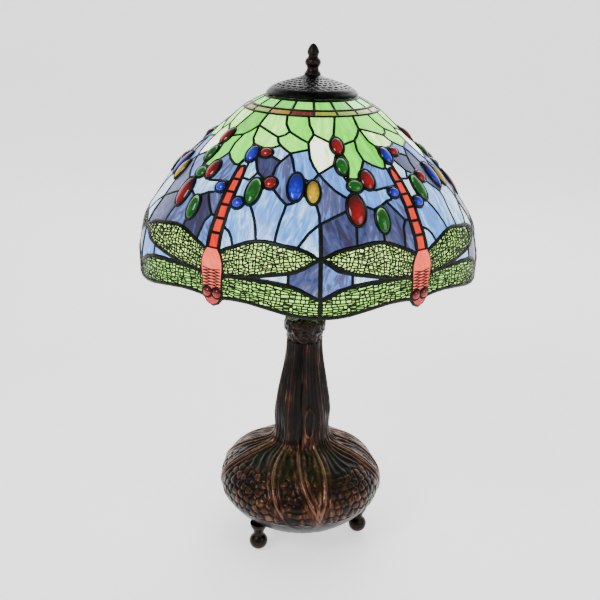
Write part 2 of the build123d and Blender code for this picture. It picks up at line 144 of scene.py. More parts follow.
def ramp(tree, factor, stops):
    """A colour ramp from positions and hex colours."""
    made = node(tree, "ShaderNodeValToRGB", {"Fac": factor})
    band = made.color_ramp
    while len(band.elements) < len(stops):
        band.elements.new(0.5)
    for element, (position, colour) in zip(band.elements, stops):
        element.position = position
        element.color = linear(colour)
    return made


def sheet_glass(name, stops, glow, across=3.2, tone_share=0.62, rough=0.16):
    """Streaky opalescent glass, with the light from behind painted in as a glow. Each pane has its
    own place in the sheet.
    """
    made, tree = material(name)
    place = node(tree, "ShaderNodeUVMap", uv_map="sheet")
    grain = node(tree, "ShaderNodeMapping", {"Vector": (place, 0), "Scale": (across, 1.0, 1.0)})
    streak = node(tree, "ShaderNodeTexNoise", {"Vector": (grain, 0), "Scale": SHEET_UNIT / STREAK,
                                               "Detail": 4.0, "Distortion": 1.1})
    tone = node(tree, "ShaderNodeAttribute", attribute_name="tone")
    wide = node(tree, "ShaderNodeMapRange", {"Value": (streak, 0), "From Min": 0.3,
                                             "From Max": 0.7, "To Min": -0.5, "To Max": 0.5})
    share = node(tree, "ShaderNodeMath", {0: (wide, 0), 1: 1 - tone_share, 2: (tone, 2)},
                 operation="MULTIPLY_ADD", use_clamp=True)
    colour = node(tree, "ShaderNodeGamma", {"Color": (ramp(tree, (share, 0), stops), 0),
                                            "Gamma": DEPTH_OF_COLOUR})
    ripple = node(tree, "ShaderNodeTexNoise", {"Vector": (grain, 0), "Scale": 9.0, "Detail": 2.0})
    bump = node(tree, "ShaderNodeBump", {"Height": (ripple, 0), "Strength": 0.25,
                                         "Distance": 0.0008})
    shader = node(tree, "ShaderNodeBsdfPrincipled",
                  {"Base Color": (colour, 0), "Emission Color": (colour, 0),
                   "Emission Strength": glow, "Roughness": rough, "IOR": 1.52,
                   "Normal": (bump, 0)})
    node(tree, "ShaderNodeOutputMaterial", {"Surface": (shader, 0)})
    return made


GRID_MARGIN = 0.05  # a grid line nearer than this to an outline's end isn't cut


def cut_pane(outline, step_angle=3.0, step_height=9.0):
    """A pane's outline cut by a grid, as flat points (angle, height) and faces."""
    bm = bmesh.new()
    bm.faces.new([bm.verts.new((a, z, 0)) for a, z in outline])
    lows = [min(p[i] for p in outline) for i in (0, 1)]
    highs = [max(p[i] for p in outline) for i in (0, 1)]
    for axis, step in ((0, step_angle), (1, step_height)):
        line = step * np.ceil((lows[axis] + GRID_MARGIN) / step)
        while line < highs[axis] - GRID_MARGIN:
            at = (line, 0, 0) if axis == 0 else (0, line, 0)
            across = (1, 0, 0) if axis == 0 else (0, 1, 0)
            everything = bm.verts[:] + bm.edges[:] + bm.faces[:]
            bmesh.ops.bisect_plane(bm, geom=everything, plane_co=at, plane_no=across)
            line += step
    bmesh.ops.triangulate(bm, faces=[f for f in bm.faces if len(f.verts) > 4])
    bm.verts.index_update()
    points = [(v.co.x, v.co.y) for v in bm.verts]
    faces = [[v.index for v in f.verts] for f in bm.faces]
    normal_up = sum(f.normal.z * f.calc_area() for f in bm.faces) > 0
    bm.free()
    return points, faces if normal_up else [f[::-1] for f in faces]


rng = np.random.default_rng(7)


def panes(name, pieces, glass, turns=range(REPEATS), back=-GLASS_THICK, front=0.0):
    """All the panes of one glass, round the shade: outlines with a tone from 0 to 1."""
    verts, faces, sheets, tones = [], [], [], []
    for outline, tone in pieces:
        points, cut = cut_pane(outline)
        rim = {}
        for face in cut:
            for a, b in zip(face, face[1:] + face[:1]):
                rim[(a, b)] = rim.get((a, b), 0) + 1
        open_edges = [(a, b) for a, b in rim if (b, a) not in rim]
        lean, shift = rng.uniform(-0.5, 0.5), rng.uniform(0, 40, 2)
        for turn in turns:
            start, count = len(verts), len(points)
            for out in (front, back):
                verts += [on_shade(a, z, out, turn)[0] for a, z in points]
            solid = [[start + i for i in f] for f in cut]
            solid += [[start + count + i for i in reversed(f)] for f in cut]
            solid += [[start + b, start + a, start + count + a, start + count + b]
                      for a, b in open_edges]
            faces += solid
            drift = turn * NEXT_PLACE + shift
            flat = [((a * SHEET_DEGREE * cos(lean) - z * sin(lean)) / SHEET_UNIT + drift[0],
                     (a * SHEET_DEGREE * sin(lean) + z * cos(lean)) / SHEET_UNIT + drift[1])
                    for a, z in points]
            sheets += [flat[(i - start) % count] for f in solid for i in f]
            wander = tone + 0.10 * sin(turn * 2.3 + shift[0])
            tones += [wander] * len(solid)
    obj = new_object(name, verts, faces)
    uv = obj.data.uv_layers.new(name="sheet")
    uv.data.foreach_set("uv", np.array(sheets, dtype=np.float32).ravel())
    tint = obj.data.attributes.new("tone", "FLOAT", "FACE")
    tint.data.foreach_set("value", np.clip(tones, 0, 1).astype(np.float32))
    obj.data.materials.append(glass)
    choose(obj)
    bpy.ops.object.shade_smooth_by_angle(angle=radians(30))
    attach(obj, "shade")
    return obj


# Top border and rope band: eighteen panes each, just under the cap.
RING_PANES = 18
RING_START = -2.0
BORDER_TOP, BORDER_LINE, ROPE_LINE = 716.0, 705.0, 699.0
ring_edges = [RING_START + 360 / RING_PANES * i for i in range(RING_PANES + 1)]


def ring_panes(top, bottom, tones):
    """A ring of equal panes between two heights."""
    return [([(a, bottom), (b, bottom), (b, top), (a, top)], tones[i % len(tones)])
            for i, (a, b) in enumerate(zip(ring_edges, ring_edges[1:]))]


leaf_glass = sheet_glass("opalescent_leaf_glass",
                         [(0.0, "#63C233"), (0.35, "#8DE65C"), (0.7, "#AFF07F"),
                          (0.88, "#D2F8AC"), (1.0, "#FBFFF0")], 1.7, across=2.0)
rope_glass = sheet_glass("opalescent_amber_glass",
                         [(0.0, "#8A3A06"), (0.35, "#B8660C"), (0.65, "#C4A420"),
                          (1.0, "#A6C832")], 0.8)
border = panes("top_border_panes", ring_panes(BORDER_TOP, BORDER_LINE, [0.3, 0.2, 0.35]),
               leaf_glass, turns=[0])
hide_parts("top_border_glass")
rope = panes("rope_band_panes", ring_panes(BORDER_LINE, ROPE_LINE,
                                           [0.92, 0.85, 0.9, 0.8, 0.2, 0.6, 0.92, 0.5, 0.05]),
             rope_glass, turns=[0])
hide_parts("rope_band_glass")

# Leaves: pale green panes that hang from the rope band, above the blue ground.
LEAVES = [
    ([(-41, 699), (-42, 684), (-36, 681), (-31, 678), (-24.5, 673.5), (-20.5, 676), (-18, 680.5),
      (-22, 689), (-23.7, 699)], 0.62),
    ([(-42, 684), (-40, 669), (-37.5, 663.5), (-34, 661.5), (-30, 660), (-25, 661), (-21, 664.5),
      (-23, 668), (-24.5, 673.5), (-31, 678), (-36, 681)], 0.8),
    ([(-23.7, 699), (-22, 689), (-18, 680.5), (-13, 676), (-9, 672), (-5.5, 669), (-4, 673.5),
      (-2.5, 678.5), (-3, 682), (-5.3, 689), (-6.3, 699)], 0.45),
    ([(-24.5, 673.5), (-23, 668), (-21, 664.5), (-17, 659.5), (-14.5, 656.5), (-10, 659),
      (-5, 661.5), (-5.5, 669), (-9, 672), (-13, 676), (-18, 680.5), (-20.5, 676)], 0.65),
    ([(-2.5, 678.5), (-5.5, 669), (-5, 661.5), (-4.3, 652), (-2.5, 643), (-0.3, 635), (4, 641),
      (7, 645), (9, 656), (6.7, 670), (2, 674.5)], 1.0),
    ([(-6.3, 699), (-5.3, 689), (-3, 682), (-2.5, 678.5), (2, 674.5), (6.7, 670), (10.3, 678.5),
      (12.3, 689), (14.5, 699)], 0.75),
    ([(14.5, 699), (12.3, 689), (10.3, 678.5), (11.5, 668), (14.5, 667), (18.5, 669.3),
      (22.7, 671.5), (26, 676.5), (30, 684), (29.8, 690), (31, 699)], 0.22),
    ([(12, 667), (12.8, 656), (14.3, 648), (13.5, 639), (12.3, 629.5), (17.5, 629), (20, 640),
      (22.8, 649), (21.6, 660), (22.7, 671.5), (18.5, 669.3), (14.5, 667)], 0.3),
    ([(30, 684), (26, 676.5), (22.7, 671.5), (21.6, 660), (22.8, 649), (26.5, 643), (31, 638),
      (33, 638.5), (35, 648), (34.5, 663.5), (32, 669)], 0.35),
]
leaves = panes("leaf_panes", LEAVES, leaf_glass)
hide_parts("leaf_glass_upper", "leaf_glass_lower")

# Ground: blue streaky panes behind the cabochons and down to the wings.
GROUND = [
    ([(-25, 661), (-21, 664.5), (-17, 659.5), (-14.5, 656.5), (-18.3, 647), (-22.5, 651),
      (-26, 652)], 0.78),
    ([(-32, 650), (-26, 652), (-22.5, 651), (-18.3, 647), (-20, 640), (-20.3, 631),
      (-21.5, 624), (-24.2, 627.5), (-27.5, 632.5), (-31, 646)], 0.18),
    ([(-34, 634), (-34, 645), (-31, 646), (-27.5, 632.5), (-29.8, 623.5), (-33.6, 625)], 0.97),
    ([(-33.6, 625), (-29.8, 623.5), (-27.5, 632.5), (-24.2, 627.5), (-24, 610), (-28, 600),
      (-33.4, 600), (-33.4, 604.5)], 0.85),
    ([(-14.5, 656.5), (-12.8, 650), (-11.2, 638), (-9, 630), (-9, 610), (-9.5, 602.7),
      (-12.5, 600), (-15, 606.5), (-18.3, 615.5), (-19.5, 622), (-20.3, 631), (-20, 640),
      (-18.3, 647)], 0.3),
    ([(-14.5, 656.5), (-10, 659), (-5, 661.5), (-4.3, 652), (-2.5, 643), (-0.3, 635),
      (-3.5, 626), (-6.5, 629), (-9, 630), (-11.2, 638), (-12.8, 650)], 0.6),
    ([(-18.3, 615.5), (-15, 606.5), (-12.5, 600), (-13, 592), (-13.9, 580), (-14.4, 568),
      (-14.6, 556), (-17.5, 557), (-20.8, 556), (-21.6, 568), (-22.6, 578), (-24, 587.5),
      (-25.8, 596), (-24, 612), (-21.5, 619)], 0.68),
    ([(-25.8, 596), (-24, 587.5), (-22.6, 578), (-21.6, 568), (-20.8, 556), (-23.5, 554),
      (-26, 549), (-28.6, 545.5), (-29.7, 556), (-31.2, 563), (-33.6, 567.5), (-33.6, 580),
      (-33.4, 600), (-28, 600)], 0.76),
    ([(-33.6, 567.5), (-31.2, 563), (-29.7, 556), (-28.6, 545.5), (-31, 541.5), (-33.4, 536)],
     0.8),
    ([(-12.5, 600), (-9.5, 602.7), (-9, 610), (-6.5, 612), (-3.5, 606), (-1.4, 600.5),
      (-0.5, 590), (-0.4, 580), (-4, 570), (-7.3, 553.5), (-11, 555), (-14.6, 556),
      (-14.4, 568), (-13.9, 580), (-13, 592)], 0.86),
    ([(-0.4, 580), (-0.4, 541), (-2.5, 544), (-4.5, 549.5), (-7.3, 553.5), (-4, 570)], 0.95),
    ([(-0.3, 635), (4, 641), (7, 645), (9, 640), (11, 630), (13, 620), (12.5, 612),
      (10.8, 607.5), (6, 617), (1.7, 629)], 0.55),
    ([(-0.3, 635), (1.7, 629), (6, 617), (10.8, 607.5), (12, 600), (9.4, 594.5), (5, 588.5),
      (-0.4, 580), (-0.5, 590), (-1.4, 600.5), (-3.5, 606), (-6.5, 612), (-6.5, 629),
      (-3.5, 626)], 0.34),
    ([(-0.4, 580), (5, 588.5), (9.4, 594.5), (12, 600), (13.5, 588), (12, 575), (11.6, 565),
      (11.3, 553), (7.5, 551), (4, 548.5), (2, 544.5), (-0.4, 541)], 0.2),
    ([(12, 575), (13.5, 588), (15.5, 598.5), (17.2, 598.5), (19.8, 594.5), (21.5, 585),
      (21.5, 574), (21.3, 557.5), (17, 556), (11.3, 553), (11.6, 565)], 0.33),
    ([(20, 640), (22.8, 649), (26.5, 643), (31, 638), (33.5, 638.5), (33.5, 618.5), (28, 617.5),
      (22.7, 615.5), (20, 620), (17.5, 629)], 0.5),
    ([(12.5, 612), (13, 620), (20, 620), (22.7, 615.5), (28, 617.5), (30, 611), (28.5, 604),
      (26, 602.5), (23.5, 598.5), (19.8, 594.5), (17.2, 598.5), (15.5, 598.5)], 0.78),
    ([(30, 611), (28, 617.5), (33.5, 618.5), (33.4, 578.5), (31.7, 578.5), (29.5, 588),
      (26, 602.5), (28.5, 604)], 0.36),
    ([(26, 602.5), (29.5, 588), (31.7, 578.5), (30, 570), (28.9, 545), (25.3, 551),
      (21.3, 557.5), (21.5, 574), (21.5, 585), (19.8, 594.5), (23.5, 598.5)], 0.1),
    ([(31.7, 578.5), (33.4, 578.5), (33.5, 536), (31, 541.5), (28.9, 545), (30, 570)], 0.4),
]
LOW_GROUND = [
    ([(-21, 511), (-14, 517.5), (-9.6, 521.5), (-9.6, 506), (-15, 507)], 0.85),
    ([(-9.6, 521.5), (-6, 527), (-3, 534), (-0.4, 541), (-0.4, 489), (-3, 494), (-6, 500),
      (-9.6, 506)], 0.22),
    ([(-0.4, 541), (2.3, 534), (5, 526), (9.4, 521.5), (9.4, 506), (5, 502), (2, 495),
      (-0.4, 489)], 0.5),
    ([(9.4, 521.5), (14, 517.5), (21, 511), (15, 507), (9.4, 506)], 0.8),
]
ground_glass = sheet_glass("streaky_blue_glass",
                           [(0.0, "#5A5670"), (0.2, "#68749C"), (0.36, "#7E7E9C"),
                            (0.5, "#84A4D8"), (0.68, "#86B8F0"), (0.84, "#B4D8F8"),
                            (1.0, "#E4F4FD")], 0.8, across=3.6, tone_share=0.58)
ground = panes("ground_panes", GROUND, ground_glass)
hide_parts("ground_glass_upper")
low_ground = panes("low_ground_panes", LOW_GROUND, ground_glass)
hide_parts("ground_glass_lower")

# Wings: pale green-yellow panes under pierced brass plates. Two upper and two lower wings
# spread from each dragonfly, and their outlines are mirror images about its body.
UPPER_WING = [(3.0, 537), (5, 541.5), (7.4, 545.5), (10, 550), (12.5, 554), (15.2, 556.5),
              (18.3, 557.5), (21.4, 556.3), (24.8, 554), (28.7, 552), (31.5, 549), (33.5, 545),
              (35.2, 541), (33, 535), (31, 529.5), (28.5, 524.5), (26.4, 521.5), (22, 518),
              (18, 514.5), (14, 510.5), (10, 508), (6, 506), (3.0, 505)]
LOWER_WING = [(3.0, 504), (8, 506), (13, 507), (20, 508.5), (26.4, 506.5), (30, 501.5),
              (33, 495), (35.8, 489), (35.8, 465), (31, 466), (27, 468), (23, 471), (18, 474),
              (13, 476), (8, 475.5), (4.5, 474), (3.0, 471)]
SIDES = [(-SECTOR / 2, 1), (SECTOR / 2, -1)]


def on_side(outline, side):
    """An outline about a dragonfly's body, taken to one side of the front corner."""
    body, sign = side
    return [(body + sign * angle, z) for angle, z in outline]


wing_glass = sheet_glass("streaky_wing_glass", [(0.0, "#A6E67C"), (0.5, "#CFF59A"),
                                                (1.0, "#F2FBC4")], 1.9)
upper_wings = panes("upper_wing_panes", [(on_side(UPPER_WING, s), 0.6) for s in SIDES],
                    wing_glass)
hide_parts("upper_wing_glass")
lower_wings = panes("lower_wing_panes", [(on_side(LOWER_WING, s), 0.3) for s in SIDES],
                    wing_glass)
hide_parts("lower_wing_glass")

# Dragonfly bodies: six red tail panes, a salmon thorax and a dark head.
TAIL_TOP = [(-1.9, 622.5), (1.9, 622.5), (1.9, 630), (1.2, 636), (0, 638.5), (-1.2, 636),
            (-1.9, 630)]
TAIL_LINES = [622.5, 608.0, 592.7, 576.2, 558.7, 539.0]
THORAX = [(-2.1, 539), (2.1, 539), (3.3, 531), (4.0, 521), (4.0, 512), (3.7, 500), (3.5, 487),
          (-3.5, 487), (-3.7, 500), (-4.0, 512), (-4.0, 521), (-3.3, 531)]
HEAD = [(-3.6, 487), (3.6, 487), (3.6, 474), (2.0, 465), (0.0, 461), (-2.0, 465), (-3.6, 474)]
BODY_PROUD = 1.8  # the thorax and head lie over the wings' inner ends
BODY_AT = SECTOR / 2


def at_body(outline):
    """An outline about a dragonfly's body, taken to its place."""
    return [(BODY_AT + angle, z) for angle, z in outline]


tail_boxes = [[(-1.95, b), (1.95, b), (1.95, t), (-1.95, t)]
              for t, b in zip(TAIL_LINES, TAIL_LINES[1:])]
flame_glass = sheet_glass("selenium_red_glass", [(0.0, "#C81A0C"), (0.25, "#F0481C"),
                                                 (0.55, "#FF6A34"), (1.0, "#FFA48E")], 0.45,
                          tone_share=0.7)
tails = panes("tail_panes", [(at_body(o), 0.35) for o in [TAIL_TOP] + tail_boxes], flame_glass)
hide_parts("dragonfly_tails")
thoraxes = panes("thorax_panes", [(at_body(THORAX), 0.72)], flame_glass, front=BODY_PROUD)
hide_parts("dragonfly_thoraxes")
heads = panes("head_panes", [(at_body(HEAD), 0.05)], flame_glass, front=BODY_PROUD)
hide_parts("dragonfly_heads")

# --- Leading ----------------------------------------------------------------------------
# Every pane's edge is wrapped in copper foil and soldered, which leaves a rounded bead on
# both faces. The solder is darkened with a black-green patina.
BEAD_HALF, BEAD_RISE = 2.5, 2.0  # half width and half thickness of a seam's bead
BEAD_SIDES = 8
BEAD_CENTRE = -0.9  # the beads' middle, from the glass's outer face
WING_HALF, RING_LINE_HALF, ROPE_TOP_HALF = 3.4, 2.6, 3.0  # half widths of the wider beads
CORNER_SEAM = [(0, 581), (0, 465)]


def bead(points, normals, half=BEAD_HALF, rise=BEAD_RISE, closed=False):
    """A rounded bar along points, flat to the surface that the normals stand on."""
    verts, faces, count = [], [], len(points)
    for i, (point, normal) in enumerate(zip(points, normals)):
        before = points[i - 1] if i or closed else points[i]
        after = points[(i + 1) % count] if i < count - 1 or closed else points[i]
        side = (after - before).cross(normal).normalized()
        for k in range(BEAD_SIDES):
            turn = 2 * pi * k / BEAD_SIDES
            verts.append(point + (side * (half * cos(turn)) + normal * (rise * sin(turn))) * MM)
    for i in range(count if closed else count - 1):
        a, b = i * BEAD_SIDES, (i + 1) % count * BEAD_SIDES
        faces += [[a + k, a + (k + 1) % BEAD_SIDES, b + (k + 1) % BEAD_SIDES, b + k]
                  for k in range(BEAD_SIDES)]
    if not closed:
        faces += [list(range(BEAD_SIDES))[::-1],
                  [(count - 1) * BEAD_SIDES + k for k in range(BEAD_SIDES)]]
    return verts, faces


def shade_bead(line, turn, out=BEAD_CENTRE, **sizes):
    """A bead along a line of (angle, height) on the shade."""
    points, normals = [], []
    for (a0, z0), (a1, z1) in zip(line, line[1:]):
        steps = max(1, round(max(abs(a1 - a0) / 2.5, abs(z1 - z0) / 9)))
        for i in range(steps + (a1 == line[-1][0] and z1 == line[-1][1])):
            share = i / steps
            p, n = on_shade(a0 + (a1 - a0) * share, z0 + (z1 - z0) * share, out, turn)
            points.append(p)
            normals.append(n)
    return bead(points, normals, **sizes)


class Net:
    """Gathers beads into one mesh."""

    def __init__(self):
        self.verts, self.faces = [], []

    def add(self, made):
        start = len(self.verts)
        self.verts += made[0]
        self.faces += [[start + i for i in f] for f in made[1]]


def beadwork(name, gathered, metal):
    """One smooth piece of metal from gathered beads."""
    obj = new_object(name, gathered.verts, gathered.faces)
    obj.data.materials.append(metal)
    choose(obj)
    bpy.ops.object.shade_smooth_by_angle(angle=radians(50))
    return obj


net = Net()
lines = set()
plain_outlines = [o for o, _ in LEAVES + GROUND + LOW_GROUND]
body_outlines = [at_body(o) for o in [TAIL_TOP, THORAX, HEAD] + tail_boxes]
for outline in plain_outlines + body_outlines:
    for start, end in zip(outline, outline[1:] + outline[:1]):
        a, b = sorted([(round(start[0], 2), start[1]), (round(end[0], 2), end[1])])
        lines.add((a, b))
for turn in range(REPEATS):
    for a, b in sorted(lines):
        net.add(shade_bead([a, b], turn))
    for side in SIDES:
        for wing in (UPPER_WING, LOWER_WING):
            net.add(shade_bead(on_side(wing + wing[:1], side), turn, half=WING_HALF))
    net.add(shade_bead(CORNER_SEAM, turn, half=RING_LINE_HALF))
    for side in (THORAX[1:7], THORAX[7:] + THORAX[:1], HEAD[1:] + HEAD[:1]):
        net.add(shade_bead(at_body(side), turn, out=0.6, half=1.5, rise=1.4))
ring_angles = np.arange(0, 360, 3.0)
for height, half in ((BORDER_TOP - 1, RING_LINE_HALF), (BORDER_LINE, ROPE_TOP_HALF),
                     (ROPE_LINE, RING_LINE_HALF)):
    spots = [on_shade(a, height, BEAD_CENTRE) for a in ring_angles]
    net.add(bead([p for p, _ in spots], [n for _, n in spots], half=half, closed=True))
for edge in ring_edges[:-1]:
    net.add(shade_bead([(edge, BORDER_TOP), (edge, ROPE_LINE)], 0, half=RING_LINE_HALF))


def patina(name, stops, scale_mm, rough, metal, bump_mm):
    """Old metal: colour and gloss wander over the surface as the patina does."""
    made, tree = material(name)
    place = node(tree, "ShaderNodeTexCoord")
    blotch = node(tree, "ShaderNodeTexNoise", {"Vector": (place, 3), "Scale": 1000 / scale_mm,
                                               "Detail": 5.0, "Roughness": 0.62})
    colour = ramp(tree, (blotch, 0), stops)
    gloss = node(tree, "ShaderNodeMapRange", {"Value": (blotch, 0), "From Min": 0.3,
                                              "From Max": 0.7, "To Min": rough - 0.1,
                                              "To Max": rough + 0.12})
    fine = node(tree, "ShaderNodeTexNoise", {"Vector": (place, 3), "Scale": 4000 / scale_mm,
                                             "Detail": 3.0})
    bump = node(tree, "ShaderNodeBump", {"Height": (fine, 0), "Strength": 0.4,
                                         "Distance": bump_mm * MM})
    shader = node(tree, "ShaderNodeBsdfPrincipled",
                  {"Base Color": (colour, 0), "Roughness": (gloss, 0), "Metallic": metal,
                   "Normal": (bump, 0)})
    node(tree, "ShaderNodeOutputMaterial", {"Surface": (shader, 0)})
    return made


solder = patina("patinated_solder", [(0.3, "#060A06"), (0.55, "#0C120A"), (0.75, "#1A2115")],
                14, 0.38, 0.75, 0.3)
leading = beadwork("shade_leading", net, solder)
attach(leading, "shade")
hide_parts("leading")

# Rim wire: brass wire tinned into the bottom edge, following the wings and heads.
RIM_HALF = [(0, 460.5), (2.0, 464), (3.2, 470)] + LOWER_WING[:7:-1][1:]
RIM_DROP, RIM_CENTRE = 0.6, -1.5  # the wire's middle, below the edge and from the outer face
rim = Net()
rim_points = []
for turn in range(REPEATS):
    run = on_side(RIM_HALF, SIDES[0]) + on_side(RIM_HALF, SIDES[1])[:0:-1]
    rim_points += [on_shade(a, z - RIM_DROP, RIM_CENTRE, turn) for a, z in run]
rim.add(bead([p for p, _ in rim_points], [n for _, n in rim_points], half=1.7, rise=2.0,
             closed=True))
rim_wire = beadwork("shade_rim_wire", rim, solder)
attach(rim_wire, "shade")
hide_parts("rim_wire")

# --- Cabochons --------------------------------------------------------------------------
# Pressed-glass stones with polished domes, set through the shade in rings of solder.
# Each is an angle, a height, and its half width and half height in millimetres.
STONES = {
    "red_jewels": ("red_jewel", [(-27.2, 654.8, 9.0, 7.5), (-20.3, 622.5, 9.0, 9.0),
                                 (10.6, 665.5, 8.6, 14.2), (20.7, 627.5, 10.0, 15.5),
                                 (13.0, 595.5, 12.0, 22.5)]),
    "green_jewels": ("green_jewel", [(-26.3, 611.5, 10.0, 20.0), (10.7, 643.0, 8.3, 13.6),
                                     (14.6, 621.0, 10.5, 9.0), (22.2, 581.5, 9.5, 17.8)]),
    "blue_jewels": ("blue_jewel", [(-34.5, 652.0, 8.6, 14.0), (-31.0, 597.0, 8.6, 8.0),
                                   (-9.6, 620.0, 10.6, 21.5), (30.8, 611.0, 8.2, 7.6)]),
    "amber_jewels": ("amber_jewel", [(-2.7, 615.0, 8.8, 17.5)]),
    "dragonfly_eyes": ("red_jewel", [(-34.1, 478.5, 7.3, 7.0), (34.1, 478.5, 7.3, 7.0)]),
}
# The upper end of each ramp is the painted glow in the middle of a stone's dome.
STONE_COLOURS = {
    "red_jewels": [(0.0, "#1E0002"), (0.4, "#7A0408"), (0.8, "#BE1016"), (1.0, "#F04A44")],
    "green_jewels": [(0.0, "#9ED89A"), (0.2, "#1C7220"), (0.5, "#0B6212"), (0.8, "#1E9A20"),
                     (1.0, "#78E060")],
    "blue_jewels": [(0.0, "#07062A"), (0.4, "#1414A0"), (0.8, "#2A48F0"), (1.0, "#6AB0FF")],
    "amber_jewels": [(0.0, "#4A3A00"), (0.4, "#B49A08"), (0.75, "#E8CC22"), (1.0, "#FFF49A")],
    "dragonfly_eyes": [(0.0, "#2A0002"), (0.4, "#8E0408"), (0.8, "#C41018"), (1.0, "#E8524A")],
}
DOME = 5.4  # how far a stone stands out
BACK = 3.4  # how far it stands in
RING_HALF, RING_RISE = 2.2, 3.0
RING_ROOM, RING_SUNK = 0.6, 0.4  # the ring's line, out from the stone's edge and in
RING_POINTS = 28


def pressed_glass(name, stops, mottle_mm=7.0):
    """Clear coloured glass, pressed and glossy, with painted light: darker at the rim, brighter
    through the middle as the 'depth' attribute asks, and a faint glow.
    """
    made, tree = material(name)
    # The 'depth' attribute is painted light: how brightly each point of the stone is painted as
    # lit.
    depth = node(tree, "ShaderNodeAttribute", attribute_name="depth")
    place = node(tree, "ShaderNodeTexCoord")
    swirl = node(tree, "ShaderNodeTexNoise", {"Vector": (place, 3), "Scale": 1000 / mottle_mm,
                                              "Detail": 3.0, "Distortion": 1.5})
    mixed = node(tree, "ShaderNodeMath", {0: (swirl, 0), 1: 0.55, 2: (depth, 2)},
                 operation="MULTIPLY_ADD")
    level = node(tree, "ShaderNodeMath", {0: (mixed, 0), 1: 0.3}, operation="SUBTRACT",
                 use_clamp=True)
    colour = ramp(tree, (level, 0), stops)
    body = node(tree, "ShaderNodeGamma", {"Color": (colour, 0), "Gamma": 2.0})
    shader = node(tree, "ShaderNodeBsdfPrincipled",
                  {"Base Color": (body, 0), "Emission Color": (colour, 0),
                   "Emission Strength": 0.55, "Roughness": 0.04, "IOR": 1.45})
    node(tree, "ShaderNodeOutputMaterial", {"Surface": (shader, 0)})
    return made


rings = Net()
bpy.ops.object.select_all(action="DESELECT")
bpy.ops.mesh.primitive_uv_sphere_add(segments=32, ring_count=16, radius=1)
ball = bpy.context.object
unit_points = [v.co.copy() for v in ball.data.vertices]
unit_faces = [list(p.vertices) for p in ball.data.polygons]
bpy.data.objects.remove(ball)
for name, (slot_name, stones) in STONES.items():
    verts, faces, painted_glow_levels = [], [], []
    for turn in range(REPEATS):
        for angle, z, half_w, half_h in stones:
            centre, normal = on_shade(angle, z, 0, turn)
            level = Vector((-normal.y, normal.x, 0)).normalized()
            upward = normal.cross(level)
            start = len(verts)
            for p in unit_points:
                lift = p.z * (DOME if p.z > 0 else BACK)
                verts.append(centre + (level * (p.x * half_w) + upward * (p.y * half_h)
                                       + normal * lift) * MM)
            faces += [[start + i for i in f] for f in unit_faces]
            # Painted light: the stone is coloured brighter in the middle of the dome and in its
            # lower part, where the light gathers.
            painted_glow_levels += [0.6 * p.z - 0.25 * p.y if p.z > 0 else 0.0 for p in unit_points]
            ring_w, ring_h = half_w + RING_ROOM, half_h + RING_ROOM
            ring = [centre + (level * (ring_w * cos(t)) + upward * (ring_h * sin(t))) * MM
                    - normal * RING_SUNK * MM
                    for t in np.linspace(0, 2 * pi, RING_POINTS, endpoint=False)]
            rings.add(bead(ring, [normal] * len(ring), half=RING_HALF, rise=RING_RISE,
                           closed=True))
    obj = new_object(name + "_cut", verts, faces)
    # The 'depth' attribute carries the painted glow of each point of the stones.
    painted_glow_attribute = obj.data.attributes.new("depth", "FLOAT", "POINT")
    painted_glow_attribute.data.foreach_set("value", painted_glow_levels)
    obj.data.materials.append(pressed_glass("pressed_" + name, STONE_COLOURS[name]))
    choose(obj)
    bpy.ops.object.shade_smooth()
    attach(obj, "shade")
    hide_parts(name)
settings = beadwork("jewel_settings", rings, solder)
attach(settings, "shade")

# --- Wing filigree ----------------------------------------------------------------------
# Thin brass plates, etched through in cells like a wing's veins, are soldered over the
# wings. An upper wing's cells are crooked, and a lower wing's run in longer rows.
FLAT = 4.15  # millimetres of wing to a degree
WEB_HALF = 0.88
PLATE_OUT, PLATE_THICK = 0.6, 0.9
SMALLEST_CELL = 1.5  # square millimetres


def etched_cells(outline, area, stretch, slope, wobble):
    """Cells of a plate in flat millimetres: it's cut in two again and again, along or
    across a leaning line, until each cell is about as small as asked."""
    bm = bmesh.new()
    bm.faces.new([bm.verts.new((a * FLAT, z, 0)) for a, z in outline])
    along, up = Vector((1, slope, 0)).normalized(), Vector((-slope, 1, 0)).normalized()
    waiting = bm.faces[:]
    while waiting:
        face = waiting.pop()
        if face.calc_area() < area * rng.uniform(1.0, 1.9):
            continue
        wide, tall = [max(v.co.dot(way) for v in face.verts)
                      - min(v.co.dot(way) for v in face.verts) for way in (along, up)]
        way, reach = (along, wide) if wide > tall * stretch else (up, tall)
        middle = face.calc_center_median() + way * (reach * rng.uniform(-0.12, 0.12))
        lean = Matrix.Rotation(rng.uniform(-wobble, wobble), 3, "Z") @ way
        known = set(bm.faces)
        bmesh.ops.bisect_plane(bm, geom=[face] + face.edges[:] + face.verts[:],
                               plane_co=middle, plane_no=lean)
        fresh = [f for f in bm.faces if f not in known]
        waiting += fresh + [face] * bool(fresh)
    cells = [[v.co.xy.copy() for v in f.verts] for f in bm.faces if f.calc_area() > SMALLEST_CELL]
    bm.free()
    return cells


